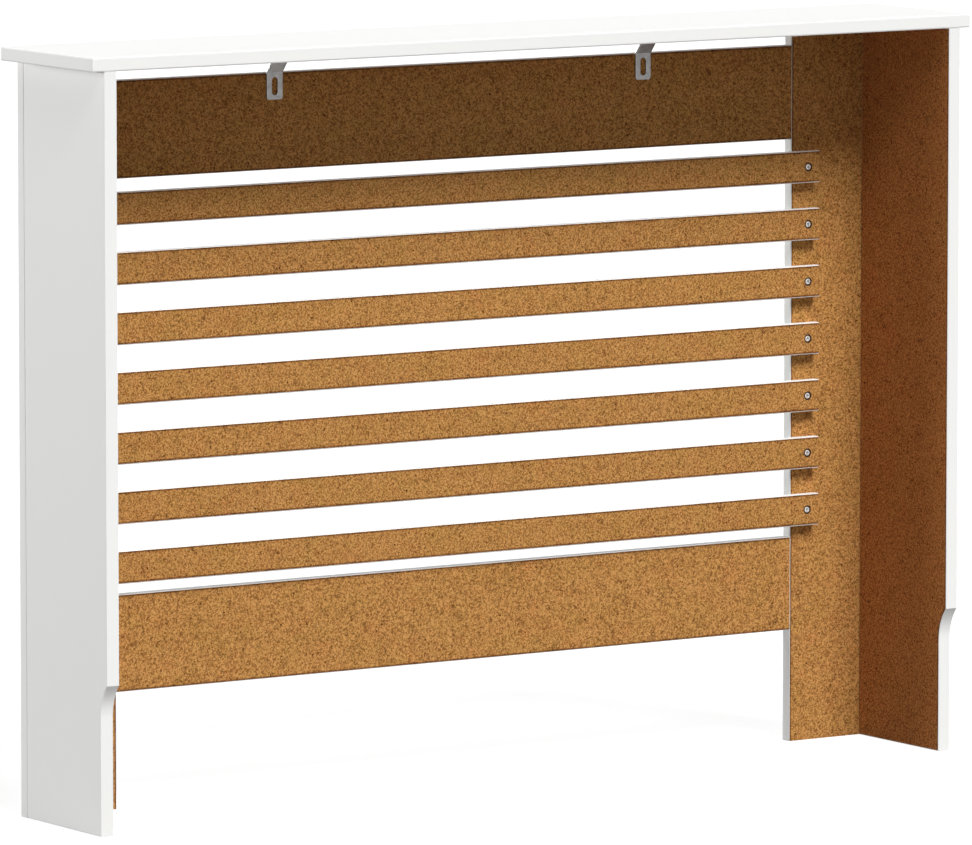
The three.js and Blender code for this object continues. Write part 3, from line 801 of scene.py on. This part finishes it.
def slotted_end(columns):
    """One slotted end of a flat strip, as (rows, round, 2) points of (distance along, across).

    Each point of the outer rim (the seam with the strip's middle, the long sides, the rounded
    corners and the foot) is joined by a straight ray to the slot's rim on the same bearing
    from the slot's middle, and the rows share the ray out evenly.
    """
    half = columns[-1]
    seam = np.stack([np.full(len(columns), SLOTTED_END), columns], -1)
    side = np.linspace(SLOTTED_END, STRAP_CORNER, SIDE_POINTS)[1:]
    turn = np.linspace(0, np.pi / 2, CORNER_POINTS)[1:]
    right = np.stack([side, np.full(len(side), half)], -1)
    corner = np.stack([STRAP_CORNER * (1 - np.sin(turn)),
                       half - STRAP_CORNER * (1 - np.cos(turn))], -1)
    foot = np.linspace(half - STRAP_CORNER, STRAP_CORNER - half, FOOT_POINTS)[1:]
    foot = np.stack([np.zeros(len(foot)), foot], -1)
    other = (corner * (1, -1))[::-1][1:]
    left = (right * (1, -1))[::-1]
    rim = np.concatenate([seam, right, corner, foot, other, left])
    ray = rim - (SLOT_MIDDLE, 0.0)
    bearing = ray / np.linalg.norm(ray, axis=1, keepdims=True)
    round_end = SLOT_WIDTH / 2
    straight = (SLOT_LENGTH - SLOT_WIDTH) / 2
    to_side = round_end / np.maximum(np.abs(bearing[:, 1]), 1e-9)
    to_end = (straight * np.abs(bearing[:, 0])
              + np.sqrt(np.maximum(round_end ** 2 - (straight * bearing[:, 1]) ** 2, 0)))
    distance = np.where(to_side * np.abs(bearing[:, 0]) <= straight, to_side, to_end)
    hole = (SLOT_MIDDLE, 0.0) + bearing * distance[:, None]
    share = np.linspace(0, 1, RAY_POINTS)[:, None, None]
    return hole + (rim - hole) * share


def strap(node, finish):
    """A bent strap: a flat strip with a slot at each end, laid along a line with two bends.

    A point's distance along the strip gives its (y, z) on the line, and its distance across
    is its x. Solidify then gives the plate its thickness, and Bevel breaks its edges.
    """
    low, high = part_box(node)
    middle_x = (low.x + high.x) / 2
    columns = np.linspace(-(high.x - low.x) / 2, (high.x - low.x) / 2, STRAP_COLUMNS)
    leg_y = low.y + STRAP_THICKNESS / 2
    flange_z = high.z - STRAP_THICKNESS / 2
    leg_top = low.z + STRAP_LEG
    slant_y = leg_y + (flange_z - leg_top) * math.tan(STRAP_SLANT)
    line = bent_line(np.array([
        (leg_y, low.z), (leg_y, leg_top), (slant_y, flange_z), (slant_y + STRAP_FLANGE, flange_z),
    ]), STRAP_BEND, BEND_STEPS)
    gone = np.concatenate([[0], np.cumsum(np.linalg.norm(np.diff(line, axis=0), axis=1))])

    near = slotted_end(columns)
    far = near * (-1, 1) + (gone[-1], 0)
    rows = gone[(gone > SLOTTED_END) & (gone < gone[-1] - SLOTTED_END)]
    rows = np.concatenate([[SLOTTED_END], rows, [gone[-1] - SLOTTED_END]])
    strip = np.stack(np.meshgrid(rows, columns, indexing="ij"), -1)

    def grid(start, count, across, closed):
        """Faces of a grid of rows and columns, whose columns may close in a ring."""
        i, j = np.meshgrid(np.arange(count - 1), np.arange(across - (not closed)), indexing="ij")
        beside = (j + 1) % across
        here, there = start + i * across, start + (i + 1) * across
        return np.stack([here + j, here + beside, there + beside, there + j], -1).reshape(-1, 4)

    around = near.shape[1]
    flat = np.concatenate([near.reshape(-1, 2), far.reshape(-1, 2), strip.reshape(-1, 2)])
    ends = near.shape[0] * around
    faces = np.concatenate([
        grid(0, near.shape[0], around, True),
        grid(ends, near.shape[0], around, True)[:, ::-1],
        grid(2 * ends, len(rows), len(columns), False),
    ])
    welded, kept = np.unique(np.round(flat / MM, WELD_DECIMALS), axis=0, return_inverse=True)
    flat = welded * MM
    faces = kept.reshape(-1)[faces]
    points = np.stack([
        middle_x + flat[:, 1],
        np.interp(flat[:, 0], gone, line[:, 0]),
        np.interp(flat[:, 0], gone, line[:, 1]),
    ], -1)
    made = in_mesh(node + "_bent", points, faces.tolist(), finish, node)
    wall = made.modifiers.new("plate", "SOLIDIFY")
    wall.thickness = STRAP_THICKNESS
    wall.offset = 0
    wall.use_even_offset = True
    edge = made.modifiers.new("broken_edge", "BEVEL")
    edge.width = EDGE_BREAK
    edge.segments = 2
    edge.limit_method = "ANGLE"
    edge.angle_limit = EDGE_ANGLE
    return made


for node in STRAPS:
    strap(node, strap_finish)

# ---------------------------------------------------------------- camera

CAMERA_PLACE = (5.6023, 8.4954, 1.5916)
CAMERA_AZIMUTH = 146.659
CAMERA_ELEVATION = 6.725
FOCAL_PIXELS = 9530
PHOTO_WIDTH = 972
SENSOR_WIDTH = 36

camera = bpy.data.objects.new("camera", bpy.data.cameras.new("camera"))
bpy.context.scene.collection.objects.link(camera)
azimuth, elevation = math.radians(CAMERA_AZIMUTH), math.radians(CAMERA_ELEVATION)
back = Vector((
    math.sin(azimuth) * math.cos(elevation),
    -math.cos(azimuth) * math.cos(elevation),
    math.sin(elevation),
))
camera.location = CAMERA_PLACE
camera.rotation_mode = "QUATERNION"
camera.rotation_quaternion = (-back).to_track_quat("-Z", "Y")
camera.data.sensor_width = SENSOR_WIDTH
camera.data.lens = FOCAL_PIXELS * SENSOR_WIDTH / PHOTO_WIDTH
camera.data.clip_start = 0.1
camera.data.clip_end = 200
bpy.context.scene.camera = camera

# ---------------------------------------------------------------- lamps, floor and backdrop


def sun(name, direction, irradiance, spread):
    """A far lamp that shines from `direction`. A white board facing it is lit to `irradiance`."""
    lamp = bpy.data.lights.new(name, "SUN")
    lamp.energy = irradiance * math.pi
    lamp.angle = math.radians(spread)
    made = bpy.data.objects.new(name, lamp)
    made.rotation_mode = "QUATERNION"
    made.rotation_quaternion = Vector(direction).to_track_quat("Z", "Y")
    bpy.context.scene.collection.objects.link(made)


sun("wall_side_lamp", (0.0, 0.64, 0.768), 1.16, 25)
sun("wall_side_fill", (0.0, 1.0, 0.05), 0.13, 50)
sun("left_side_lamp", (1.0, 0.0, 0.12), 0.25, 6)
sun("right_side_lamp", (-1.0, 0.0, 0.0), 0.50, 5)
sun("room_side_lamp", (0.20, -0.97, 0.06), 0.82, 8)


def seen_rays(tree):
    """1 for what the camera sees straight, in a reflection or through glass, and 0 for light."""
    path = put(tree, "LightPath").outputs
    seen = calc(tree, "ADD", path["Is Camera Ray"], path["Is Glossy Ray"])
    return calc(tree, "ADD", seen, path["Is Transmission Ray"], clamp=True)


WORLD_LIGHT = 0.05
world = bpy.data.worlds.new("studio")
bpy.context.scene.world = world
world.use_nodes = True
world.node_tree.nodes.clear()
sky = put(world.node_tree, "Background", {"Color": rgb(1, 1, 1)})
send(world.node_tree, [
    (span(world.node_tree, seen_rays(world.node_tree), WORLD_LIGHT, 1.0), sky.inputs["Strength"]),
    (sky.outputs[0], put(world.node_tree, "OutputWorld").inputs[0]),
])

FLOOR_REACH = 60.0
FLOOR_LEVEL = -0.5 * MM
FLOOR_TONE = 0.30
FLOOR_RIPPLE = 0.01
FLOOR_LIFT = 0.88
FLOOR_ROUGHNESS = 0.9
FLOOR_CLOUDS = 3.0


def floor_material():
    """Pale floor: it takes a faint shadow, and what is seen of it is lifted to white."""
    made, tree, shader, place = material("studio_floor")
    cloud = noise(tree, place, FLOOR_CLOUDS, 3.0)
    paper = span(tree, cloud, FLOOR_TONE - FLOOR_RIPPLE, FLOOR_TONE + FLOOR_RIPPLE)
    send(tree, [
        (paper, shader.inputs["Base Color"]),
        (calc(tree, "MULTIPLY", seen_rays(tree), FLOOR_LIFT), shader.inputs["Emission Strength"]),
    ])
    shader.inputs["Emission Color"].default_value = rgb(1, 1, 1)
    shader.inputs["Roughness"].default_value = FLOOR_ROUGHNESS
    shader.inputs["Specular IOR Level"].default_value = 0.0
    return made


def sheet(name, corners, finish):
    """A flat sheet with the given corners."""
    mesh = bpy.data.meshes.new(name)
    mesh.from_pydata(corners, [], [tuple(range(len(corners)))])
    mesh.materials.append(finish)
    made = bpy.data.objects.new(name, mesh)
    bpy.context.scene.collection.objects.link(made)
    return made


floor = sheet("studio_floor", [
    (-FLOOR_REACH, -FLOOR_REACH, FLOOR_LEVEL),
    (FLOOR_REACH, -FLOOR_REACH, FLOOR_LEVEL),
    (FLOOR_REACH, FLOOR_REACH, FLOOR_LEVEL),
    (-FLOOR_REACH, FLOOR_REACH, FLOOR_LEVEL),
], floor_material())

bpy.context.scene.view_settings.view_transform = "Standard"
